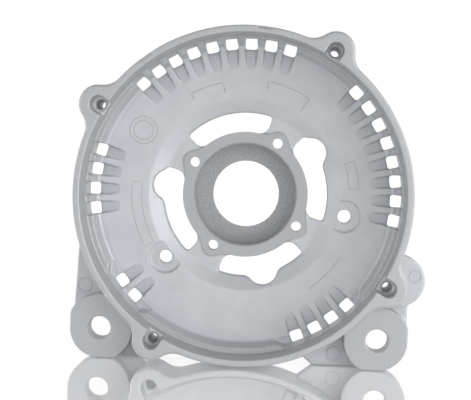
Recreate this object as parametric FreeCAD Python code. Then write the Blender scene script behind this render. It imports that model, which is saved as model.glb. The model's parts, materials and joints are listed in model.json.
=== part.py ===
import FreeCAD, Part
import math
import os

from FreeCAD import Vector

# Drive-end bracket of a car alternator: one aluminium casting, written as its named regions.
# It is modelled with the bearing axis along Z and the open side towards +Z, in millimetres.
# Height 0 is the machined face that the bearing retainer plate screws to.
# At export it is turned to stand as it does in use: axis along Y, open side towards -Y, +Z up.

# Bearing seat and hub
bearing_d = 47.0            # outer diameter of the ball bearing that the pocket holds
bearing_w = 14.0            # its width, so the depth of the pocket
shaft_hole_d = 31.0
shoulder_t = 3.0
relief_margin = 3.0         # shoulder left round a shallow recess, clear of the bearing's inner ring
relief_depth = 0.8
seat_wall = 1.5
mouth_chamfer = 0.6
flange_w = 5.5              # the machined flange round the pocket
flange_t = 8.0
barrel_taper = 1.6          # the back of the barrel is this much smaller in radius
hub_back_chamfer = 1.0

# Retainer plate screws
retainer_margin = 4.4       # from the edge of the pocket to the circle of the holes
retainer_hole_d = 4.7
retainer_lobe_r = 5.0
retainer_blend_r = 12.0
quarter_turns = (60.0, 150.0, 240.0, 330.0)   # the screw lobes, spokes and through bolts

# End wall: a shallow dish between the air openings and the corner of the housing
air_w = 9.0                 # from the flange to the outer edge of the air openings
air_half_angle = 32.2
air_outer_corner_r = 1.5
air_inner_corner_r = 4.5
air_bulge_r = 7.0
air_bulge_inset = 1.9       # the middle of a bulge lies this far inside the outer edge
air_bulge_blend_r = 5.0
air_centres = (15.0, 105.0, 195.0, 285.0)
air_bulge_angles = (34.5, 175.5, 285.0)         # three of the four openings bulge outwards
spoke_step = 0.8            # cast face of the spokes, below the machined flange
dish_share = 0.342          # the dish rises steeply over this share of its width
dish_height = 2.4
floor_lead = 1.0            # it is nearly flat from this far inside the grooves
floor_start_height = 3.8
floor_break_w = 2.0         # it levels out this far inside the corner ring
floor_height = 5.0          # inner face of the end wall beside the corner
wall_back_height = -3.5
spoke_back_height = -8.0
back_flat_w = 15.5          # level ring round the back, inside the outer corner
rib_t = 3.0
rib_offset = 10.0           # degrees on either side of a spoke's middle, clear of its screw hole
rib_share = 0.82            # a rib runs this share of the way from the openings to that ring
rib_foot_height = -14.0     # where a rib leaves the barrel
rib_toe = 0.1               # what is left of its height where it ends

# Corner ring with the vent slots
ledge_w = 3.0
ledge_height = 18.0         # the stator stack rests here
ledge_draft = 0.7           # the foot of the wall below the ledge is this much further in
bar_root = 0.6              # the bars between the vents begin this far inside the foot
vent_pitch = 7.5
vent_w = 5.8
vent_reach = 2.5            # the slot cuts this far into the end wall
vent_corner_r = 1.2
vent_margin = 0.3           # it ends this far inside the pilot bore at the ledge
vent_draft = 0.25           # and this much further out at the back
groove_length = 8.8         # of the ramped groove that leads into each slot
vent_groove_w = 4.2         # at the start; it widens to the slot
vent_groove_depth = 2.4
vent_groups = {
    "top": (75.0, 9),
    "right": (-7.5, 8),
    "left": (165.0, 4),
    "lower_left": (217.5, 2),
    "lower_right": (292.5, 4),
}
recess_groups = ("lower_left", "lower_right")   # here the ledge is left out
recess_margin = 4.5         # degrees past the outermost vents
recess_bevel = 3.4          # degrees that the ends of the ledge slant
recess_stock = 0.55         # the cast wall there lies this far inside the machined pilot bore
foot_fillet = 1.5

# Rim with the pilot bore for the stator
pilot_r = 72.3
rim_root = 0.7              # under the ledge the rim begins this far inside the pilot bore
rim_wall = 3.2
rim_height = 38.0
rim_chamfer = 0.4
back_corner_r = 5.5

# Through-bolt bosses on the rim
bolt_offset = 0.5           # from the outside of the rim to the circle of the bolts
bolt_core_d = 4.2
bolt_countersink_d = 6.1
bolt_lobe_r = 8.5
bolt_blend_r = 10.0
bolt_back_height = -1.0
bolt_foot_fillet = 2.0
bolt_edge_fillet = 1.3      # round the front of a boss
bolt_pocket_w = 7.4
bolt_pocket_depth = 12.5

# Mounting ears, their webs and the side lug
ear_inset_x = 12.9          # the bores lie this far inside the sides of the rim
ear_inset_y = 13.1          # and this far above its lowest point
ear_face_height = 24.0
ear_pad_r = 15.1
ear_corner_r = 13.5
ear_top_r = 6.0
ear_bore_d = 10.2
ear_bore_chamfer = 0.3
left_side = 13.3            # from a bore to the straight outer side of the ear and its web
right_side = 13.8
ear_foot = 13.6             # from a bore down to the foot of the ear, a little past the rim
left_ear_t = 14.0
right_ear_t = 12.0
ear_rim_fillet = 3.5
ear_fillet_half_angle = 12.0
web_height = 13.0
web_t = 8.0
web_lean = 1.6              # how far the side of the left web leans in on its way up the rim
web_top_y = -14.0
web_toe_x = 27.0            # where the right web leaves the rim at the bottom
web_toe_slant = 7.0
web_bore_gap = 2.0          # the webs stop this far outside the ear bores
lug_out = 5.8               # from the axis of the bolt beside it
lug_up = 2.7
lug_r = 11.6
lug_blend_r = 5.0           # hollow blend from the lug to the side of the web
lug_height = 20.0
lug_back_height = 6.0

# Three shallow facets on the outer edge of the rim face
facet_angles = (85.0, 127.0, 216.0)
facet_span = 5.0
facet_depth = 1.4

# Two plain holes in spot-faced seats
plain_hole_inset = 8.9      # from the outer edge of the air openings
plain_hole_d = 6.2
plain_hole_angles = (-10.0, 220.5)
spot_face_r = 7.4
spot_face_depth = 0.9

pocket_r = bearing_d / 2
relief_r = pocket_r - relief_margin
seat_outer_r = pocket_r + seat_wall
shoulder_height = -bearing_w
hub_back_height = -bearing_w - shoulder_t
flange_r = pocket_r + flange_w
barrel_back_r = flange_r - barrel_taper
retainer_r = pocket_r + retainer_margin
air_outer_r = flange_r + air_w
air_bulge_centre_r = air_outer_r - air_bulge_inset
plain_hole_r = air_outer_r + plain_hole_inset
spoke_height = -spoke_step
rim_r = pilot_r + rim_wall
rim_inner_r = pilot_r - rim_root
recess_r = pilot_r - recess_stock
ledge_inner_r = pilot_r - ledge_w
wall_foot_r = ledge_inner_r - ledge_draft
bar_r = wall_foot_r - bar_root
vent_outer_r = pilot_r - vent_margin
vent_inner_r = ledge_inner_r - vent_reach
groove_start_r = vent_inner_r - groove_length
floor_start_r = groove_start_r - floor_lead
floor_break_r = bar_r - floor_break_w
dish_r = air_outer_r + dish_share * (floor_start_r - air_outer_r)
back_flat_r = rim_r - back_flat_w
rib_end_r = air_outer_r + rib_share * (back_flat_r - air_outer_r)
bolt_r = rim_r + bolt_offset
ear_x = rim_r - ear_inset_x
ear_y = ear_inset_y - rim_r
left_side_x = ear_x + left_side
right_side_x = ear_x + right_side
foot_y = ear_foot - ear_y
lug_x = bolt_r * math.cos(math.radians(quarter_turns[3])) + lug_out
lug_y = bolt_r * math.sin(math.radians(quarter_turns[3])) + lug_up
axis = Vector(0, 0, 1)
origin = Vector(0, 0, 0)
over = 2.0                  # how far a cutting shape reaches past what it cuts
far_low = -60.0             # heights well clear of the part on either side
far_high = 80.0
tiny = 0.01


def at(r, angle, height=0.0):
    """A point by its radius and angle about the bearing axis."""
    a = math.radians(angle)
    return Vector(r * math.cos(a), r * math.sin(a), height)


def section(points):
    """A face in the radius-height plane; a point with a third value starts a rounded corner there."""
    edges = []
    ends = []
    n = len(points)
    for i, p in enumerate(points):
        here = Vector(p[0], 0, p[1])
        if len(p) == 2:
            ends.append((here, here, None))
            continue
        before = Vector(points[i - 1][0], 0, points[i - 1][1])
        after = Vector(points[(i + 1) % n][0], 0, points[(i + 1) % n][1])
        u = (before - here).normalize()
        v = (after - here).normalize()
        half = u.getAngle(v) / 2
        reach = p[2] / math.tan(half)
        bisector = (u + v).normalize()
        centre = here + bisector * (p[2] / math.sin(half))
        ends.append((here + u * reach, here + v * reach, centre - bisector * p[2]))
    for i in range(n):
        start, stop, middle = ends[i]
        if middle is not None:
            edges.append(Part.Arc(start, middle, stop).toShape())
        edges.append(Part.LineSegment(stop, ends[(i + 1) % n][0]).toShape())
    return Part.Face(Part.Wire(edges))


def turned(face, start=0.0, span=360.0):
    """A face of the radius-height plane turned about the bearing axis."""
    swept = face.copy()
    swept.rotate(origin, axis, start)
    return swept.revolve(origin, axis, span)


def ring(r_in, r_out, low, high, start=0.0, span=360.0):
    return turned(section([(r_in, low), (r_out, low), (r_out, high), (r_in, high)]), start, span)


def disc(r, low, high, centre=origin):
    return Part.makeCylinder(r, high - low, Vector(centre.x, centre.y, low))


def lobed_outline(main_r, angles, lobe_centre_r, lobe_r, blend_r):
    """A circle with round lobes, each met by two hollow blends; also the half angle of a lobe."""
    reach = main_r + blend_r
    cosine = (reach ** 2 + lobe_centre_r ** 2 - (lobe_r + blend_r) ** 2) / (2 * reach * lobe_centre_r)
    half = math.degrees(math.acos(cosine))
    lobes = []
    for a in angles:
        centre = at(lobe_centre_r, a)
        sides = []
        for sign in (-1, 1):
            blend = at(reach, a + sign * half)
            on_main = at(main_r, a + sign * half)
            on_lobe = blend + (centre - blend).normalize() * blend_r
            mid = blend + ((on_main + on_lobe) * 0.5 - blend).normalize() * blend_r
            sides.append((on_main, mid, on_lobe))
        lobes.append((sides[0], at(lobe_centre_r + lobe_r, a), sides[1]))
    return lobes, half


def lobed_disc(main_r, angles, lobe_centre_r, lobe_r, blend_r, low, high):
    lobes, half = lobed_outline(main_r, angles, lobe_centre_r, lobe_r, blend_r)
    edges = []
    for i, (first, tip, second) in enumerate(lobes):
        edges.append(Part.Arc(first[0], first[1], first[2]).toShape())
        edges.append(Part.Arc(first[2], tip, second[2]).toShape())
        edges.append(Part.Arc(second[2], second[1], second[0]).toShape())
        following = lobes[(i + 1) % len(lobes)][0][0]
        step = (angles[(i + 1) % len(angles)] - angles[i]) % 360.0
        between = at(main_r, angles[i] + step / 2)
        edges.append(Part.Arc(second[0], between, following).toShape())
    face = Part.Face(Part.Wire(edges))
    face.translate(Vector(0, 0, low))
    return face.extrude(Vector(0, 0, high - low))


def vent_angles(group):
    first, count = vent_groups[group]
    return [first + i * vent_pitch for i in range(count)]


def vent_tool(angle):
    """One vent: a slot along the axis through the corner and a ramp that leads into it."""
    low = wall_back_height - over
    slot_face = section([
        (vent_inner_r, low), (vent_outer_r + vent_draft, low),
        (vent_outer_r, ledge_height), (vent_inner_r, ledge_height)])
    share = (groove_start_r - floor_start_r) / (floor_break_r - floor_start_r)
    ramp_high = floor_start_height + share * (floor_height - floor_start_height)
    ramp_low = floor_height - vent_groove_depth
    ramp_end = vent_inner_r + over
    rise = (ramp_high - ramp_low) / (ramp_end - groove_start_r) * over
    ramp_face = section([
        (groove_start_r - over, ramp_high + rise), (ramp_end, ramp_low),
        (ramp_end, ledge_height), (groove_start_r - over, ledge_height)])
    half = Vector(0, vent_w / 2, 0)
    slot = slot_face.translated(half * -1).extrude(half * 2)
    plan = Part.Face(Part.makePolygon([
        Vector(groove_start_r - over, -vent_groove_w / 2, 0), Vector(ramp_end, -vent_w / 2, 0),
        Vector(ramp_end, vent_w / 2, 0), Vector(groove_start_r - over, vent_groove_w / 2, 0),
        Vector(groove_start_r - over, -vent_groove_w / 2, 0)]))
    inner_edges = [
        e for e in slot.Edges
        if abs(e.CenterOfMass.x - vent_inner_r) < tiny and e.BoundBox.ZLength > vent_w]
    slot = slot.makeFillet(vent_corner_r, inner_edges)
    ramp = ramp_face.translated(half * -1).extrude(half * 2)
    ramp = ramp.common(plan.extrude(Vector(0, 0, ledge_height)))
    tool = slot.fuse(ramp)
    tool.rotate(origin, axis, angle)
    return tool


def recess_tool(group):
    """What is missing from the ledge beside the lower vents, with slanted ends."""
    angles = vent_angles(group)
    corners = []
    for edge, sign in ((angles[0] - recess_margin, -1), (angles[-1] + recess_margin, 1)):
        outer = at(pilot_r, edge)
        inner = at(ledge_inner_r, edge + sign * recess_bevel)
        reach = outer - inner
        corners.append((inner - reach * over, outer + reach * over))
    loop = [corners[0][0], corners[0][1], corners[1][1], corners[1][0], corners[0][0]]
    face = Part.Face(Part.makePolygon(loop))
    face.translate(Vector(0, 0, floor_height))
    tool = face.extrude(Vector(0, 0, ledge_height - floor_height + over))
    return tool.common(disc(recess_r, floor_height, ledge_height + over))


def casting_section():
    """Half section of the housing through the ledge, from the air openings to the rim."""
    return section([
        (air_outer_r, spoke_height), (dish_r, dish_height), (floor_start_r, floor_start_height),
        (floor_break_r, floor_height), (wall_foot_r, floor_height, foot_fillet),
        (ledge_inner_r, ledge_height), (pilot_r, ledge_height),
        (pilot_r, rim_height - rim_chamfer), (pilot_r + rim_chamfer, rim_height),
        (rim_r - rim_chamfer, rim_height), (rim_r, rim_height - rim_chamfer),
        (rim_r, wall_back_height, back_corner_r), (back_flat_r, wall_back_height),
        (air_outer_r, spoke_back_height)])


def back_height(r):
    """Height of the cone on the back of the end wall."""
    share = (r - air_outer_r) / (back_flat_r - air_outer_r)
    return spoke_back_height + share * (wall_back_height - spoke_back_height)


def band(r_in, r_out):
    """The part of the half section between two radii."""
    strip = section([(r_in, far_low), (r_out, far_low), (r_out, far_high), (r_in, far_high)])
    return casting_section().common(strip).Faces[0]


def retainer_lobes(low, high):
    return lobed_disc(flange_r, quarter_turns, retainer_r, retainer_lobe_r, retainer_blend_r, low, high)


def air_opening(centre_angle):
    """One air opening: an arc slot that follows the hub, some with a bulge in the outer edge."""
    low = spoke_back_height - over
    high = floor_start_height + over
    reach = air_bulge_centre_r + air_bulge_r + over
    sector = ring(flange_r - over, reach, low, high, centre_angle - air_half_angle, 2 * air_half_angle)
    outline = lobed_disc(
        air_outer_r, air_bulge_angles, air_bulge_centre_r, air_bulge_r, air_bulge_blend_r, low, high)
    hole = outline.common(sector).cut(retainer_lobes(low - over, high + over)).removeSplitter()
    middle_r = (flange_r + air_outer_r) / 2
    outer = [e for e in hole.Edges if end_corner(e, centre_angle) and radius_of(e) > middle_r]
    hole = hole.makeFillet(air_outer_corner_r, outer)
    inner = [e for e in hole.Edges if end_corner(e, centre_angle) and radius_of(e) < middle_r]
    return hole.makeFillet(air_inner_corner_r, inner)


def radius_of(edge):
    return math.hypot(edge.CenterOfMass.x, edge.CenterOfMass.y)


def end_corner(edge, centre_angle):
    """True for an upright edge at an end of an air opening."""
    if edge.BoundBox.ZLength < floor_start_height - spoke_back_height:
        return False
    angle = math.degrees(math.atan2(edge.CenterOfMass.y, edge.CenterOfMass.x))
    off = abs((angle - centre_angle + 180.0) % 360.0 - 180.0)
    return off > air_half_angle - tiny


def build_hub():
    bore = section([
        (pocket_r, shoulder_height), (seat_outer_r, shoulder_height), (seat_outer_r, 0.0),
        (pocket_r + mouth_chamfer, 0.0), (pocket_r, -mouth_chamfer)])
    shoulder = section([
        (shaft_hole_d / 2, hub_back_height), (seat_outer_r, hub_back_height),
        (seat_outer_r, shoulder_height), (relief_r, shoulder_height),
        (relief_r, shoulder_height - relief_depth),
        (shaft_hole_d / 2, shoulder_height - relief_depth)])
    barrel = section([
        (seat_outer_r, hub_back_height), (barrel_back_r - hub_back_chamfer, hub_back_height),
        (barrel_back_r, hub_back_height + hub_back_chamfer), (flange_r, -flange_t),
        (seat_outer_r, -flange_t)])
    flange = retainer_lobes(-flange_t, 0.0).cut(disc(seat_outer_r, -flange_t - over, over))
    holes = [
        disc(retainer_hole_d / 2, hub_back_height - over, over, at(retainer_r, a))
        for a in quarter_turns]
    return {
        "bearing_seat": turned(bore),
        "bearing_shoulder": turned(shoulder),
        "hub_barrel": turned(barrel).cut(holes),
        "retainer_flange": flange.cut(holes),
    }


def build_spokes(openings):
    plate = disc(air_outer_r, spoke_back_height, spoke_height)
    plate = plate.cut([retainer_lobes(spoke_back_height - over, spoke_height + over)] + openings)
    names = ("upper_right", "upper_left", "lower_left", "lower_right")
    nodes = {}
    for name, a in zip(names, quarter_turns):
        sector = ring(0.0, air_outer_r + over, far_low, far_high, a - 45.0, 90.0)
        nodes["spoke_" + name] = plate.common(sector)
    return nodes


def build_end_wall(openings, vents):
    seats = []
    share = (plain_hole_r - dish_r) / (floor_start_r - dish_r)
    face_height = dish_height + share * (floor_start_height - dish_height) - spot_face_depth
    for a in plain_hole_angles:
        centre = at(plain_hole_r, a)
        seats.append(disc(spot_face_r, face_height, floor_height + over, centre))
        seats.append(disc(plain_hole_d / 2, spoke_back_height - over, floor_height, centre))
    names = ("top", "left", "bottom", "right")
    nodes = {}
    for name, a in zip(names, quarter_turns):
        sector = turned(band(air_outer_r, bar_r), a, 90.0)
        nodes["end_wall_" + name] = sector.cut(openings + seats + vents)
    return nodes


def build_corner(vents):
    corner = turned(band(bar_r, rim_inner_r))
    corner = corner.cut([recess_tool(g) for g in recess_groups] + vents)
    pieces = {}
    for solid in corner.Solids:
        angle = math.degrees(math.atan2(solid.CenterOfMass.y, solid.CenterOfMass.x))
        name = None
        for group in vent_groups:
            angles = vent_angles(group)
            middle = (angles[0] + angles[-1]) / 2
            off = (angle - middle + 180.0) % 360.0 - 180.0
            if abs(off) < (angles[-1] - angles[0]) / 2:
                name = "vent_bars_" + group
        if name is None:
            name = corner_name(angle % 360.0)
        pieces.setdefault(name, []).append(solid)
    return {name: Part.makeCompound(solids) for name, solids in pieces.items()}


def corner_name(angle):
    """The unbroken stretches of the corner, by the angle of their middle."""
    middles = {
        "corner_upper_right": 60.0, "corner_upper_left": 150.0, "corner_left": 202.0,
        "corner_bottom": 259.0, "corner_lower_right": 334.0}
    return min(middles, key=lambda k: abs((angle - middles[k] + 180.0) % 360.0 - 180.0))


def facet_tool(angle):
    """A slanted cut across the outer edge of the rim face."""
    face = section([
        (rim_r - facet_depth, rim_height + tiny), (rim_r + over, rim_height - facet_depth - over),
        (rim_r + over, rim_height + tiny)])
    return turned(face, angle - facet_span / 2, facet_span)


def build_rim(vents):
    _, half = lobed_outline(rim_r, quarter_turns, bolt_r, bolt_lobe_r, bolt_blend_r)
    profile = band(rim_inner_r, rim_r)
    cuts = vents + [facet_tool(a) for a in facet_angles] + [recess_tool(g) for g in recess_groups]
    names = ("top", "left", "bottom", "right")
    nodes = {}
    for name, a in zip(names, quarter_turns):
        nodes["rim_" + name] = turned(profile, a + half, 90.0 - 2 * half).cut(cuts)
    return nodes


def bolt_lobe(angle):
    """The plan of one boss outside the rim, raised to its height, with a rounded foot."""
    lobes, half = lobed_outline(rim_r, (angle,), bolt_r, bolt_lobe_r, bolt_blend_r)
    first, tip, second = lobes[0]
    inner_r = (pilot_r + rim_r) / 2
    edges = [
        Part.Arc(first[0], first[1], first[2]).toShape(),
        Part.Arc(first[2], tip, second[2]).toShape(),
        Part.Arc(second[2], second[1], second[0]).toShape(),
        Part.LineSegment(second[0], at(inner_r, angle + half)).toShape(),
        Part.Arc(at(inner_r, angle + half), at(inner_r, angle), at(inner_r, angle - half)).toShape(),
        Part.LineSegment(at(inner_r, angle - half), first[0]).toShape()]
    face = Part.Face(Part.Wire(edges))
    face.translate(Vector(0, 0, bolt_back_height))
    solid = face.extrude(Vector(0, 0, rim_height - bolt_back_height))
    centre = at(bolt_r, angle)
    outside = [e for e in solid.Edges if e.BoundBox.ZLength < tiny and radius_of(e) > rim_r + tiny]
    foot = [e for e in outside if e.CenterOfMass.z < bolt_back_height + tiny]
    front = [e for e in outside if e.CenterOfMass.z > rim_height - tiny]
    solid = solid.makeFillet(bolt_foot_fillet, foot)
    return solid.makeFillet(bolt_edge_fillet, front), half, centre


def bolt_core(angle):
    return disc(bolt_core_d / 2, far_low, far_high, at(bolt_r, angle))


def build_bosses(vents):
    names = ("upper_right", "upper_left", "lower_left", "lower_right")
    profile = band(rim_inner_r, rim_r)
    recesses = [recess_tool(g) for g in recess_groups]
    nodes = {}
    for name, a in zip(names, quarter_turns):
        lobe, half, centre = bolt_lobe(a)
        boss = turned(profile, a - half, 2 * half).fuse(lobe).removeSplitter()
        floor = rim_height - bolt_pocket_depth
        sink_depth = (bolt_countersink_d - bolt_core_d) / 2
        sink = Part.makeCone(
            bolt_core_d / 2, bolt_countersink_d / 2, sink_depth,
            Vector(centre.x, centre.y, floor - sink_depth))
        pocket = disc(bolt_pocket_w / 2, floor, rim_height + over, centre)
        slot = Part.makeBox(
            bolt_r - pilot_r + over, bolt_pocket_w, bolt_pocket_depth + over,
            Vector(pilot_r - over, -bolt_pocket_w / 2, floor))
        slot.rotate(origin, axis, a)
        nodes["bolt_boss_" + name] = boss.cut([bolt_core(a), sink, pocket, slot] + vents + recesses)
    return nodes


def ear_solid(side, thickness, keep_out):
    """A round ear pad with straight sides where the webs run on, and its bore."""
    centre = Vector(side * ear_x, ear_y, 0)
    low = ear_face_height - thickness
    pad = disc(ear_pad_r, low, ear_face_height, centre)
    high = ear_face_height + ear_rim_fillet
    cove = Part.Face(Part.Wire([
        Part.LineSegment(Vector(rim_r - over, 0, low), Vector(rim_r + ear_rim_fillet, 0, low)).toShape(),
        Part.LineSegment(
            Vector(rim_r + ear_rim_fillet, 0, low),
            Vector(rim_r + ear_rim_fillet, 0, ear_face_height)).toShape(),
        Part.Arc(
            Vector(rim_r + ear_rim_fillet, 0, ear_face_height),
            Vector(
                rim_r + ear_rim_fillet * (1 - math.sqrt(0.5)), 0,
                ear_face_height + ear_rim_fillet * (1 - math.sqrt(0.5))),
            Vector(rim_r, 0, high)).toShape(),
        Part.LineSegment(Vector(rim_r, 0, high), Vector(rim_r - over, 0, high)).toShape(),
        Part.LineSegment(Vector(rim_r - over, 0, high), Vector(rim_r - over, 0, low)).toShape()]))
    middle = math.degrees(math.atan2(centre.y, centre.x))
    blend = turned(cove, middle - ear_fillet_half_angle, 2 * ear_fillet_half_angle)
    blend = blend.common(disc(ear_pad_r, low, high + over, centre))
    pad = pad.fuse(blend).removeSplitter()
    trim = corner_block(side, low - over, high + over)
    bore = disc(ear_bore_d / 2, low - over, ear_face_height + over, centre)
    sinks = []
    for face_height, way in ((ear_face_height, 1), (low, -1)):
        narrow = ear_bore_d / 2
        base = Vector(centre.x, centre.y, face_height - way * ear_bore_chamfer)
        sinks.append(Part.makeCone(
            narrow, narrow + ear_bore_chamfer, ear_bore_chamfer, base, Vector(0, 0, way)))
    rim_body = disc(rim_r, low - over, high + over)
    pad = pad.common(trim)
    top = [
        e for e in pad.Edges
        if abs(abs(e.CenterOfMass.x) - side_x(side)) < tiny and e.CenterOfMass.y > ear_y
        and e.BoundBox.ZLength > thickness - tiny]
    return pad.makeFillet(ear_top_r, top).cut([rim_body, bore] + sinks + keep_out)


def side_x(side):
    return right_side_x if side > 0 else left_side_x


def corner_block(side, low, high):
    """The square corner beside the rim, rounded about the ear, that ear and webs stay inside."""
    reach = side_x(side)
    block = Part.makeBox(reach, foot_y, high - low, Vector(0, -foot_y, low))
    edge = [
        e for e in block.Edges
        if abs(e.CenterOfMass.x - reach) < tiny and abs(e.CenterOfMass.y + foot_y) < tiny]
    block = block.makeFillet(ear_corner_r, edge)
    if side < 0:
        block = block.mirror(origin, Vector(1, 0, 0))
    return block


def build_lug(keep_out):
    lug = disc(lug_r, lug_back_height, lug_height, Vector(lug_x, lug_y, 0))
    foot_x = pilot_r * math.cos(math.asin(lug_y / pilot_r))
    foot = Part.makeBox(
        lug_x - foot_x, 2 * lug_r, lug_height - lug_back_height,
        Vector(foot_x, lug_y - lug_r, lug_back_height))
    return lug.fuse(foot).removeSplitter().cut(keep_out)


def web_plan(side):
    """Where the web beside an ear may lie; its rounded corner comes from the corner block."""
    reach = side_x(side)
    far = 2 * reach
    if side < 0:
        return [
            Vector(-reach, -far, 0), Vector(-reach, ear_y, 0),
            Vector(-reach + web_lean, web_top_y, 0), origin, at(2 * bolt_r, quarter_turns[2])]
    on_rim = -math.sqrt(rim_r ** 2 - web_toe_x ** 2)
    return [
        Vector(web_toe_x + web_toe_slant, -foot_y, 0), Vector(web_toe_x, on_rim, 0),
        Vector(web_toe_x, lug_y, 0), Vector(far, lug_y, 0), Vector(far, -foot_y, 0)]


def lug_blend(low, high):
    """The hollow blend between the round lug and the straight side of the right web."""
    lug = Vector(lug_x, lug_y, 0)
    blend_x = right_side_x + lug_blend_r
    drop = math.sqrt((lug_r + lug_blend_r) ** 2 - (blend_x - lug_x) ** 2)
    blend = Vector(blend_x, lug_y - drop, 0)
    on_side = Vector(right_side_x, blend.y, 0)
    on_lug = blend + (lug - blend).normalize() * lug_blend_r
    middle = blend + ((on_side + on_lug) * 0.5 - blend).normalize() * lug_blend_r
    inside = Vector(lug_x, blend.y, 0)
    face = Part.Face(Part.Wire([
        Part.LineSegment(inside, on_side).toShape(), Part.Arc(on_side, middle, on_lug).toShape(),
        Part.LineSegment(on_lug, lug).toShape(), Part.LineSegment(lug, inside).toShape()]))
    face.translate(Vector(0, 0, low))
    return face.extrude(Vector(0, 0, high - low))


def build_web(side, keep_out):
    low = web_height - web_t
    plan = web_plan(side)
    outline = Part.Face(Part.makePolygon(plan + plan[:1]))
    outline.translate(Vector(0, 0, low))
    web = corner_block(side, low, web_height).common(outline.extrude(Vector(0, 0, web_t)))
    if side > 0:
        web = web.fuse(lug_blend(low, web_height)).removeSplitter()
    around_bore = disc(
        ear_bore_d / 2 + web_bore_gap, low - over, web_height + over, Vector(side * ear_x, ear_y, 0))
    return web.cut([around_bore] + keep_out)


def build_ears(bosses):
    rim_body = disc(rim_r, far_low, far_high)
    left_boss = bosses["bolt_boss_lower_left"]
    right_boss = bosses["bolt_boss_lower_right"]
    around_left = [rim_body, left_boss, bolt_core(quarter_turns[2])]
    around_right = [rim_body, right_boss, bolt_core(quarter_turns[3])]
    left_ear = ear_solid(-1, left_ear_t, [left_boss])
    right_ear = ear_solid(1, right_ear_t, [right_boss])
    lug = build_lug(around_right)
    return {
        "mounting_ear_left": left_ear,
        "mounting_ear_right": right_ear,
        "side_lug": lug,
        "ear_web_left": build_web(-1, around_left + [left_ear]),
        "ear_web_right": build_web(1, around_right + [right_ear, lug]),
    }


def build_ribs(nodes):
    """Two stiffening ribs on the back of each spoke, from the barrel out onto the end wall."""
    seats = [nodes["hub_barrel"], nodes["retainer_flange"]]
    seats += [nodes[n] for n in nodes if n.startswith(("spoke_", "end_wall_"))]
    ribs = {}
    for name, a in zip(("upper_right", "upper_left", "lower_left", "lower_right"), quarter_turns):
        pair = []
        for sign in (-1, 1):
            side = section([
                (seat_outer_r, spoke_height), (seat_outer_r, rib_foot_height),
                (flange_r, rib_foot_height), (rib_end_r, back_height(rib_end_r) - rib_toe),
                (rib_end_r, spoke_height)])
            rib = side.translated(Vector(0, -rib_t / 2, 0)).extrude(Vector(0, rib_t, 0))
            rib.rotate(origin, axis, a + sign * rib_offset)
            pair.append(rib.cut(seats))
        ribs["spoke_ribs_" + name] = Part.makeCompound(pair)
    return ribs


def main():
    os.makedirs("parts", exist_ok=True)
    openings = [air_opening(c) for c in air_centres]
    vents = [vent_tool(a) for group in vent_groups for a in vent_angles(group)]
    nodes = {}
    nodes.update(build_hub())
    nodes.update(build_spokes(openings))
    nodes.update(build_end_wall(openings, vents))
    nodes.update(build_corner(vents))
    nodes.update(build_rim(vents))
    bosses = build_bosses(vents)
    nodes.update(bosses)
    nodes.update(build_ears(bosses))
    nodes.update(build_ribs(nodes))
    for name, shape in sorted(nodes.items()):
        shape = shape.copy()
        shape.rotate(origin, Vector(1, 0, 0), 90)
        shape.exportStep("parts/" + name + ".step")
        print(name, len(shape.Solids), "solids", round(shape.Volume, 1), "mm3", shape.isValid())


main()
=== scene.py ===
import json
import math

import bmesh
import bpy
from mathutils import Matrix, Vector
from mathutils.bvhtree import BVHTree


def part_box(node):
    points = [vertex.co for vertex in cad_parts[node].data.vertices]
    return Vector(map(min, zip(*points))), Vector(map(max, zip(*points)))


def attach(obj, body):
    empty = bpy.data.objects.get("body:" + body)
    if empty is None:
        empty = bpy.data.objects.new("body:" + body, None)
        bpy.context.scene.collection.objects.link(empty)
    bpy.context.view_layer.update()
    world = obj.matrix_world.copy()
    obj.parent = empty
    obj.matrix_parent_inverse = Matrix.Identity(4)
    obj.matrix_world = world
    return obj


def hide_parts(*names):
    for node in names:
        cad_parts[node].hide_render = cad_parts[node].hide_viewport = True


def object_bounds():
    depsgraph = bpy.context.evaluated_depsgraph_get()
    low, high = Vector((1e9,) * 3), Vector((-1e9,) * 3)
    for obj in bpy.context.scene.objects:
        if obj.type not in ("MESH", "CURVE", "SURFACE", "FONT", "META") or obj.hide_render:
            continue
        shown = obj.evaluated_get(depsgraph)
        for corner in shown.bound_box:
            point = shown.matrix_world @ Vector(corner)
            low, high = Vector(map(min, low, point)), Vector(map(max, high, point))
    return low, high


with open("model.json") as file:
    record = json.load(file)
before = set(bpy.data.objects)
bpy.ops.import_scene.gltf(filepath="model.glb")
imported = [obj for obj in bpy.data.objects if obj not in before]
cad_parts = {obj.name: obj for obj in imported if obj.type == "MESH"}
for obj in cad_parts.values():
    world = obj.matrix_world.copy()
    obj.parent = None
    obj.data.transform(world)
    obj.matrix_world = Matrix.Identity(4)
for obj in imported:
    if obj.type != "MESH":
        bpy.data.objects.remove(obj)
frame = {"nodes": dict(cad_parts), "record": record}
cad_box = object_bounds()

MM = 0.001
WHITE = (1, 1, 1, 1)

# The camera, from where points of the bearing axis fall in the photograph
IMAGE_PX = (471, 400)
HUB_PX = (245.2, 194.3)         # the bearing axis where it meets the hub face
AXIS_PX = (286.0, 154.0)        # where lines along the bearing axis run together
FOCAL_PX = 1566.0
DISTANCE = 726.6 * MM
ROLL = math.radians(2.6)
SENSOR = 36.0
CLIP = 0.05, 20.0

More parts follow.
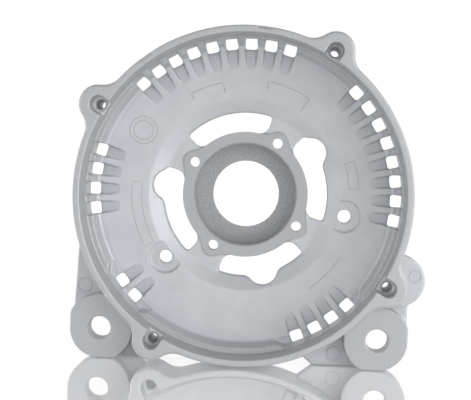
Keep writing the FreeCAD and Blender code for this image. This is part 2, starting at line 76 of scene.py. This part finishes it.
# Light: the room's brightness in front of, behind and above the object, then its two glows
FRONT = 0.74
BEHIND = 1.02
FRONT_TO_BACK = -0.25, 0.75     # where the change between them runs, by the direction's Y
ABOVE = 0.3                     # share of the brightness that is left straight overhead
LOW_TO_HIGH = 0.02, 0.8         # where the change to it runs, by the direction's Z
GLOWS = ((1.0, -0.8, 0.1), 2.1), ((-1.0, -0.2, 0.15), 1.3)     # direction and strength
GLOW_REACH = 0.78, 1.0          # cosine of the angle from the middle of a glow
LIGHTS = {                      # place, target, size in metres and power in watts
    "front_box": ((0.3, -1.0, 0.1), (0, 0, -0.02), (0.9, 0.5), 1.8),
    "low_strip": ((0.03, -0.2, -0.06), (0.03, 0, -0.05), (0.25, 0.03), 0.06),
    "low_right": ((0.25, -0.25, -0.05), (0.07, 0, -0.05), (0.1, 0.05), 0.2),
    "low_left": ((-0.25, -0.25, -0.05), (-0.07, 0, -0.05), (0.1, 0.05), 0.12),
}

# Floor
FLOOR_HALF = 30.0
FLOOR_GAP = 0.2 * MM            # between the floor and the lowest point of the object
ACRYLIC = {
    "Base Color": (0.96, 0.96, 0.96, 1),
    "Metallic": 0.62,
    "Roughness": 0.03,
    "Emission Color": WHITE,
    "Emission Strength": 0.12,
}

# Finishes. A texture is its scale, detail and roughness, and a bump its strength and height.
CAST_TONES = (0.558, 0.574, 0.602), (0.638, 0.654, 0.682)
CAST_TONE_STOPS = 0.3, 0.7
CAST_METALLIC = 0.38
CAST_ROUGHNESS = 0.38, 0.54
CLOUDS = 70.0, 10.0, 0.7
GRAIN = 1500.0, 3.0, 0.6
DENTS = 330.0, 2.0, 0.5
GRAIN_BUMP = 0.35, 0.12 * MM
DENT_BUMP = 0.25, 0.2 * MM
MACHINED_TONES = (0.50, 0.51, 0.53), (0.57, 0.58, 0.59)
MACHINED_TONE_STOPS = 0.35, 0.65
MACHINED_METALLIC = 0.55
MACHINED_ROUGHNESS = 0.42, 0.56
SPECKS = 2200.0, 2.0, 0.7
PIT_BUMP = 0.2, 0.1 * MM
RING_SCALE = 2600.0
RING_DETAIL = 2.0
RING_BUMP = 0.25, 0.05 * MM
FLANGE_TONE = 0.96              # share of the machined tones
POCKET_SPECKS_AND_PAINTED_SHADE = 0.25           # how much darker the specks of the pocket's floor are: painted shade of the deep pocket, on top of its grain
MIXED_SOCKETS = {"Metallic": "FLOAT", "Base Color": "RGBA", "Roughness": "FLOAT", "Normal": "VECTOR"}

# Where the machined faces are. Places front to back are negative towards the camera.
MOUNTS = {mount["name"]: mount for mount in frame["record"]["mounts"]}
EAR_BORES = [MOUNTS[name]["pos_m"][::2] for name in ("ear_bore_left", "ear_bore_right")]
BORE_MARGIN = 1.1 * MM          # how far past a bore's edge the casting stays crisp
PILOT_MARGIN = 0.45 * MM
FACE_DEPTH = 0.25 * MM          # how far behind a machined face its finish ends
LEDGE_DEPTH = 0.4 * MM
BORE_EDGE = MOUNTS["ear_bore_left"]["dims"]["r_mm"] * MM + BORE_MARGIN
PILOT_EDGE = MOUNTS["pilot_bore"]["dims"]["r_mm"] * MM + PILOT_MARGIN
RIM_FACE = cad_box[0].y + FACE_DEPTH
EAR_FACE = MOUNTS["ear_face_left"]["pos_m"][1] + FACE_DEPTH
EAR_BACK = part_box("mounting_ear_right")[1].y - FACE_DEPTH
LEDGE_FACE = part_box("corner_left")[0].y + LEDGE_DEPTH
FLANGE_EDGE = 29.3 * MM         # radius
GROOVE_EDGE = 57.0 * MM         # radius where the vent grooves begin
STEP_WIDTH = 0.1 * MM
MACHINED_NODES = "retainer_flange", "bearing_seat", "bearing_shoulder"

# The rounded skin
VOXEL = 0.42 * MM
SMOOTHING = 6                   # rounds
SMOOTH_FACTOR = 0.5
SOFT_HUB = 0.12                 # share of the smoothing at the hub
SOFT_FACE = 0.3
SOFT_LEDGE = 0.25
SOFT_GROOVE = 0.12
KEPT_SHARE = 0.28               # of the faces
WELD = 0.0002 * MM              # points closer than this are one
REACHES = 0.8 * MM, 2.0 * MM    # how far round a node its piece of the skin is looked for
CLEARANCE = 0.12 * MM           # between the skin and the nodes machined all over

# Raised marks. Their places in the front view are in mm.
MARK_STEP = 0.6                 # mm between places
MARK_START = -100.0             # mm, well in front of the object
MARK_WIDTH = 0.28 * MM          # half of it
MARK_RISE = 0.3 * MM
MARK_PROFILE = (-1.0, -0.5), (-1.0, 0.15), (-0.5, 0.85), (0.0, 1.0), (0.5, 0.85), (1.0, 0.15), (1.0, -0.5)


def socket(node, name, value):
    node.inputs[name].default_value = value


def new_object(name, data):
    piece = bpy.data.objects.new(name, data)
    bpy.context.collection.objects.link(piece)
    return piece


def make_camera():
    """Looks where the photograph's camera looked: its axes from the two points of the bearing axis."""
    cx, cy = IMAGE_PX[0] / 2, IMAGE_PX[1] / 2
    image_right = Vector((math.cos(ROLL), 0, math.sin(ROLL)))
    image_up = Vector((-math.sin(ROLL), 0, math.cos(ROLL)))
    slope_x = (AXIS_PX[0] - cx) / FOCAL_PX
    slope_y = (cy - AXIS_PX[1]) / FOCAL_PX
    forward = (Vector((0, 1, 0)) - image_right * slope_x - image_up * slope_y).normalized()
    right = (image_right - forward * image_right.dot(forward)).normalized()
    up = right.cross(forward)
    hub = right * ((HUB_PX[0] - cx) / FOCAL_PX) + up * ((cy - HUB_PX[1]) / FOCAL_PX) + forward
    data = bpy.data.cameras.new("camera")
    data.sensor_fit = "HORIZONTAL"
    data.sensor_width = SENSOR
    data.lens = SENSOR * FOCAL_PX / IMAGE_PX[0]
    data.clip_start, data.clip_end = CLIP
    camera = new_object("camera", data)
    place = Matrix((right, up, -forward)).transposed().to_4x4()
    place.translation = hub * -DISTANCE
    camera.matrix_world = place
    bpy.context.scene.camera = camera


# Materials
def new_material(name):
    material = bpy.data.materials.new(name)
    material.use_nodes = True
    nodes = material.node_tree.nodes
    links = material.node_tree.links
    return material, nodes, links, nodes["Principled BSDF"]


def noise(nodes, links, place, texture_values):
    texture = nodes.new("ShaderNodeTexNoise")
    for name, value in zip(("Scale", "Detail", "Roughness"), texture_values):
        socket(texture, name, value)
    links.new(place, texture.inputs["Vector"])
    return texture.outputs["Fac"]


def ramp(nodes, links, value, stops, colors):
    tone = nodes.new("ShaderNodeValToRGB")
    for element, position, color in zip(tone.color_ramp.elements, stops, colors):
        element.position = position
        element.color = (*color, 1)
    links.new(value, tone.inputs["Fac"])
    return tone.outputs["Color"]


def mapped(nodes, links, value, to_range, from_range=(0.0, 1.0), interpolation="LINEAR"):
    node = nodes.new("ShaderNodeMapRange")
    node.interpolation_type = interpolation
    for side, ends in (("From", from_range), ("To", to_range)):
        socket(node, side + " Min", ends[0])
        socket(node, side + " Max", ends[1])
    links.new(value, node.inputs["Value"])
    return node.outputs["Result"]


def bumped(nodes, links, height, bump_values, under=None):
    bump = nodes.new("ShaderNodeBump")
    for name, value in zip(("Strength", "Distance"), bump_values):
        socket(bump, name, value)
    links.new(height, bump.inputs["Height"])
    if under:
        links.new(under, bump.inputs["Normal"])
    return bump.outputs["Normal"]


def math_node(nodes, links, kind, first, second):
    node = nodes.new("ShaderNodeMath")
    node.operation = kind
    links.new(first, node.inputs[0])
    links.new(second, node.inputs[1])
    return node.outputs["Value"]


def step(nodes, links, value, edge, above):
    """1 where the value is past the edge, 0 before it."""
    to_range = (0.0, 1.0) if above else (1.0, 0.0)
    return mapped(nodes, links, value, to_range, (edge - STEP_WIDTH, edge + STEP_WIDTH))


def distance_from_axis(nodes, links, parts):
    flat = nodes.new("ShaderNodeCombineXYZ")
    links.new(parts.outputs["X"], flat.inputs["X"])
    links.new(parts.outputs["Z"], flat.inputs["Z"])
    length = nodes.new("ShaderNodeVectorMath")
    length.operation = "LENGTH"
    links.new(flat.outputs["Vector"], length.inputs[0])
    return length.outputs["Value"]


def mixed(nodes, links, mask, cast, machined, kind):
    """Joins the cast and the machined source of one shader socket by the mask."""
    mix = nodes.new("ShaderNodeMix")
    mix.data_type = kind
    links.new(mask, mix.inputs[0])
    shown = [slot for slot in mix.inputs if slot.name in "AB" and slot.enabled]
    for slot, source in zip(shown, (cast, machined)):
        if isinstance(source, float):
            slot.default_value = source
        else:
            links.new(source, slot)
    return next(slot for slot in mix.outputs if slot.enabled)


def cast_surface(nodes, links, place):
    """Shot-blasted casting: faint clouds, a fine grain and shallow dents."""
    clouds = noise(nodes, links, place, CLOUDS)
    grain = noise(nodes, links, place, GRAIN)
    dents = noise(nodes, links, place, DENTS)
    under = bumped(nodes, links, dents, DENT_BUMP)
    return {
        "Metallic": CAST_METALLIC,
        "Base Color": ramp(nodes, links, clouds, CAST_TONE_STOPS, CAST_TONES),
        "Roughness": mapped(nodes, links, grain, CAST_ROUGHNESS),
        "Normal": bumped(nodes, links, grain, GRAIN_BUMP, under),
    }


def machined_surface(nodes, links, place, radius, specks_and_painted_shade, tone):
    """Turned or milled face: fine rings about the bearing axis and small specks. A share above zero
    darkens the specks' low tone as painted shade and deepens their pits.
    """
    specks = noise(nodes, links, place, SPECKS)
    rings = nodes.new("ShaderNodeTexNoise")
    rings.noise_dimensions = "1D"
    socket(rings, "Scale", RING_SCALE)
    socket(rings, "Detail", RING_DETAIL)
    links.new(radius, rings.inputs["W"])
    low, high = MACHINED_TONES
    # the low tone darkened by the share: painted shade of a recess
    tones = [c * tone * (1 - specks_and_painted_shade) for c in low], [c * tone for c in high]
    strength, depth = PIT_BUMP
    pits = bumped(nodes, links, specks, (strength + specks_and_painted_shade, depth))
    return {
        "Metallic": MACHINED_METALLIC,
        "Base Color": ramp(nodes, links, specks, MACHINED_TONE_STOPS, tones),
        "Roughness": mapped(nodes, links, rings.outputs["Fac"], MACHINED_ROUGHNESS),
        "Normal": bumped(nodes, links, rings.outputs["Fac"], RING_BUMP, pits),
    }


def aluminium(name, mask_of=None, machined=False, specks_and_painted_shade=0.0, tone=1.0):
    """Cast or machined aluminium, or cast with machined faces where the mask says."""
    material, nodes, links, shader = new_material(name)
    place = nodes.new("ShaderNodeTexCoord").outputs["Object"]
    parts = nodes.new("ShaderNodeSeparateXYZ")
    links.new(place, parts.inputs["Vector"])
    radius = distance_from_axis(nodes, links, parts)
    if machined:
        surface = machined_surface(nodes, links, place, radius, specks_and_painted_shade, tone)
    else:
        surface = cast_surface(nodes, links, place)
    if mask_of:
        mask = mask_of(nodes, links, parts, radius)
        turned = machined_surface(nodes, links, place, radius, specks_and_painted_shade, tone)
        surface = {key: mixed(nodes, links, mask, surface[key], turned[key], kind)
                   for key, kind in MIXED_SOCKETS.items()}
    for key, source in surface.items():
        if isinstance(source, float):
            socket(shader, key, source)
        else:
            links.new(source, shader.inputs[key])
    return material


def acrylic():
    """Polished and pale: it mirrors what stands on it."""
    material, _, _, shader = new_material("floor")
    for name, value in ACRYLIC.items():
        socket(shader, name, value)
    return material


def rim_mask(nodes, links, parts, radius):
    """The rim's front face, its bore and the ledge."""
    face = step(nodes, links, parts.outputs["Y"], RIM_FACE, False)
    inside = step(nodes, links, radius, PILOT_EDGE, False)
    ahead = step(nodes, links, parts.outputs["Y"], LEDGE_FACE, False)
    return math_node(nodes, links, "MAXIMUM", face, math_node(nodes, links, "MULTIPLY", inside, ahead))


def ear_mask(nodes, links, parts, radius):
    """The front and back faces of the mounting ears."""
    front = step(nodes, links, parts.outputs["Y"], EAR_FACE, False)
    back = step(nodes, links, parts.outputs["Y"], EAR_BACK, True)
    return math_node(nodes, links, "MAXIMUM", front, back)


# The casting as one rounded skin, cut into its pieces again
def welded(node, grow):
    """A copy of a node's mesh, closed, with its surface moved out by grow."""
    mesh = node.data.copy()
    form = bmesh.new()
    form.from_mesh(mesh)
    bmesh.ops.remove_doubles(form, verts=form.verts, dist=WELD)
    form.normal_update()
    moves = [vert.normal * grow for vert in form.verts]
    for vert, move in zip(form.verts, moves):
        vert.co += move
    form.to_mesh(mesh)
    form.free()
    return mesh


def to_mesh(form, name):
    mesh = bpy.data.meshes.new(name)
    form.to_mesh(mesh)
    form.free()
    return mesh


def modified(piece, kind, **settings):
    """The mesh that a piece has with one modifier."""
    modifier = piece.modifiers.new(kind, kind)
    for key, value in settings.items():
        setattr(modifier, key, value)
    depsgraph = bpy.context.evaluated_depsgraph_get()
    mesh = bpy.data.meshes.new_from_object(piece.evaluated_get(depsgraph))
    piece.modifiers.clear()
    return mesh


def cut(piece, operation, tool):
    return modified(piece, "BOOLEAN", operation=operation, solver="MANIFOLD", object=tool)


def soft_weight(place):
    """How much a point of the casting is rounded: little where it is machined."""
    radius, height = math.hypot(place.x, place.z), -place.y
    to_bore = min(math.hypot(place.x - x, place.z - z) for x, z in EAR_BORES)
    if radius < FLANGE_EDGE:
        return SOFT_HUB
    if height > -RIM_FACE or to_bore < BORE_EDGE:
        return SOFT_FACE
    if height > -LEDGE_FACE and radius < PILOT_EDGE:
        return SOFT_LEDGE
    if GROOVE_EDGE < radius < PILOT_EDGE:
        return SOFT_GROOVE
    return 1.0


def make_skin():
    """The whole casting as one closed mesh with rounded edges."""
    form = bmesh.new()
    for node in frame["nodes"].values():
        form.from_mesh(welded(node, 0.0))
    skin = new_object("skin", to_mesh(form, "skin"))
    skin.data = modified(skin, "REMESH", mode="VOXEL", voxel_size=VOXEL)
    group = skin.vertex_groups.new(name="soft")
    for vert in skin.data.vertices:
        group.add([vert.index], soft_weight(vert.co), "REPLACE")
    skin.data = modified(skin, "SMOOTH", factor=SMOOTH_FACTOR, iterations=SMOOTHING, vertex_group="soft")
    skin.vertex_groups.clear()
    skin.data = modified(skin, "DECIMATE", ratio=KEPT_SHARE)
    return skin


def cut_pieces(skin):
    """Gives each node the part of the skin that lies at it, and returns them by node."""
    pieces = {}
    for name in MACHINED_NODES:
        tool = new_object("tool", welded(frame["nodes"][name], CLEARANCE))
        skin.data = cut(skin, "DIFFERENCE", tool)
        bpy.data.objects.remove(tool)
    for reach in REACHES:
        for name, node in sorted(frame["nodes"].items()):
            if name in MACHINED_NODES or not skin.data.polygons:
                continue
            tool = new_object("tool", welded(node, reach))
            inside = cut(skin, "INTERSECT", tool)
            if inside.polygons:
                skin.data = cut(skin, "DIFFERENCE", tool)
                pieces.setdefault(name, []).append(inside)
            bpy.data.objects.remove(tool)
    bpy.data.objects.remove(skin)
    return pieces


def make_casting(finishes):
    """A piece of the skin for each cast node, with the skin's own normals so that no seam shows."""
    skin = make_skin()
    whole = new_object("whole", skin.data.copy())
    whole.data.shade_smooth()
    whole.data = modified(whole, "WEIGHTED_NORMAL", mode="FACE_AREA_WITH_ANGLE")
    for name, meshes in cut_pieces(skin).items():
        form = bmesh.new()
        for mesh in meshes:
            form.from_mesh(mesh)
        mesh = to_mesh(form, name + "_casting")
        mesh.shade_smooth()
        mesh.materials.clear()
        piece = new_object(name + "_casting", mesh)
        piece.data = modified(piece, "DATA_TRANSFER", object=whole, use_loop_data=True,
                              data_types_loops={"CUSTOM_NORMAL"}, loop_mapping="POLYINTERP_NEAREST")
        piece.data.materials.append(finishes[name])
        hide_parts(name)
        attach(piece, "root")
    bpy.data.objects.remove(whole)


# Raised marks left by the die
def polar(r, angle):
    return r * math.cos(math.radians(angle)), r * math.sin(math.radians(angle))


def arc(r, start, end):
    """Points on an arc about the bearing axis, by object angle in degrees."""
    steps = max(2, round(math.radians(abs(end - start)) * r / MARK_STEP))
    return [polar(r, start + (end - start) * i / steps) for i in range(steps + 1)]


def circle(x, z, r):
    return [(x + px, z + pz) for px, pz in arc(r, 0, 360)[:-1]]


def closed_frame(outer, inner, start, end):
    return arc(outer, start, end) + arc(inner, end, start)


def open_frame(outer, start, end, start_foot, end_foot):
    """An arc with a short side at each end, open towards the axis."""
    return [polar(start_foot, start), *arc(outer, start, end), polar(end_foot, end)]


def marks():
    """The lines of each mark: whether a line is closed, and its places."""
    return {
        "mark_frame_upper_right": [(False, open_frame(53.2, 58.6, 80.6, 46.4, 49.5))],
        "mark_frame_upper_left": [(False, open_frame(52.6, 103.6, 120.6, 48.0, 50.0))],
        "mark_frame_right": [(True, closed_frame(52.4, 48.0, 5.6, 19.6))],
        "mark_arc_lower_right": [(False, arc(52.6, 306.6, 328.6))],
        "mark_frame_left": [(True, closed_frame(52.2, 47.6, 176.0, 210.0))],
        "mark_round_upper_left": [(True, circle(-47.9, 27.7, 6.3)), (True, circle(-47.9, 27.7, 4.4))],
        "mark_pin_left": [(True, circle(-71.2, -44.3, 3.2))],
        "mark_pin_lower_right": [(True, circle(43.8, -70.5, 3.2))],
        "mark_pin_lug": [(True, circle(78.7, -33.0, 2.6))],
    }


def raised_line(form, places, closed, surface):
    """A low rounded ridge through the places, laid on what faces the camera there."""
    rings = []
    count = len(places)
    for index, (x, z) in enumerate(places):
        before = places[index - 1] if closed or index else places[0]
        after = places[(index + 1) % count] if closed or index + 1 < count else places[-1]
        along = Vector((after[0] - before[0], 0, after[1] - before[1])).normalized()
        across = Vector((-along.z, 0, along.x))
        hit = surface.ray_cast(Vector((x, MARK_START, z)) * MM, Vector((0, 1, 0)))[0]
        rings.append([form.verts.new(hit + across * side * MARK_WIDTH - Vector((0, rise * MARK_RISE, 0)))
                      for side, rise in MARK_PROFILE])
    following = rings[1:] + rings[:1] if closed else rings[1:]
    for first, second in zip(rings, following):
        for i in range(len(first)):
            j = (i + 1) % len(first)
            form.faces.new((first[i], first[j], second[j], second[i]))
    if not closed:
        form.faces.new(rings[0][::-1])
        form.faces.new(rings[-1])


def make_marks(finish):
    """Plain frames and rings on the floor, the webs and the lug."""
    form = bmesh.new()
    for node in frame["nodes"].values():
        form.from_mesh(node.data)
    surface = BVHTree.FromBMesh(form)
    form.free()
    for name, lines in marks().items():
        form = bmesh.new()
        for closed, places in lines:
            raised_line(form, places, closed, surface)
        bmesh.ops.recalc_face_normals(form, faces=form.faces)
        mesh = to_mesh(form, name)
        mesh.shade_smooth()
        mesh.materials.append(finish)
        piece = new_object(name, mesh)
        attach(piece, "root")


def make_finishes():
    """The material of each node."""
    cast = aluminium("cast_aluminium")
    turned = aluminium("turned_aluminium", machined=True, tone=FLANGE_TONE)
    # the pocket's floor: turned grain with painted shade darkening its specks
    turned_with_painted_shade = aluminium("rough_turned_aluminium", machined=True, specks_and_painted_shade=POCKET_SPECKS_AND_PAINTED_SHADE)
    rim = aluminium("cast_with_turned_rim", rim_mask)
    ear = aluminium("cast_with_milled_faces", ear_mask)
    kinds = {
        "retainer_flange": turned,
        "bearing_seat": turned,
        "bearing_shoulder": turned_with_painted_shade,
        "rim": rim,
        "corner": rim,
        "bolt_boss": rim,
        "vent_bars": rim,
        "mounting_ear": ear,
    }
    finishes = {}
    for name in frame["nodes"]:
        finishes[name] = next((finish for start, finish in kinds.items() if name.startswith(start)), cast)
    return finishes


def dress(finishes):
    for name, node in frame["nodes"].items():
        node.data.materials.clear()
        node.data.materials.append(finishes[name])


def make_floor():
    low = cad_box[0].z - FLOOR_GAP
    corners = [(x * FLOOR_HALF, y * FLOOR_HALF, low) for x, y in ((-1, -1), (1, -1), (1, 1), (-1, 1))]
    mesh = bpy.data.meshes.new("floor")
    mesh.from_pydata(corners, [], [(0, 1, 2, 3)])
    mesh.materials.append(acrylic())
    new_object("floor", mesh)


def add_light(name, place, target, size, power):
    data = bpy.data.lights.new(name, "AREA")
    data.shape = "RECTANGLE"
    data.size, data.size_y = size
    data.energy = power
    light = new_object(name, data)
    light.visible_camera = False
    light.visible_glossy = False
    light.location = place
    light.rotation_mode = "QUATERNION"
    light.rotation_quaternion = (Vector(target) - Vector(place)).to_track_quat("-Z", "Y")


def make_light():
    """A white room, dimmer above and in front, with a soft glow on each side."""
    world = bpy.data.worlds.new("studio")
    bpy.context.scene.world = world
    world.use_nodes = True
    nodes, links = world.node_tree.nodes, world.node_tree.links
    direction = nodes.new("ShaderNodeTexCoord").outputs["Generated"]
    parts = nodes.new("ShaderNodeSeparateXYZ")
    links.new(direction, parts.inputs["Vector"])
    back = mapped(nodes, links, parts.outputs["Y"], (FRONT, BEHIND), FRONT_TO_BACK, "SMOOTHSTEP")
    height = mapped(nodes, links, parts.outputs["Z"], (1.0, ABOVE), LOW_TO_HIGH, "SMOOTHSTEP")
    light = math_node(nodes, links, "MULTIPLY", back, height)
    for toward, strength in GLOWS:
        aim = nodes.new("ShaderNodeVectorMath")
        aim.operation = "DOT_PRODUCT"
        aim.inputs[1].default_value = Vector(toward).normalized()
        links.new(direction, aim.inputs[0])
        glow = mapped(nodes, links, aim.outputs["Value"], (0.0, strength), GLOW_REACH, "SMOOTHSTEP")
        light = math_node(nodes, links, "ADD", light, glow)
    background = nodes["Background"]
    socket(background, "Color", WHITE)
    links.new(light, background.inputs["Strength"])
    for name, values in LIGHTS.items():
        add_light(name, *values)


make_camera()
finishes = make_finishes()
dress(finishes)
make_casting(finishes)
make_marks(finishes["side_lug"])
make_floor()
make_light()
bpy.context.scene.view_settings.view_transform = "Standard"
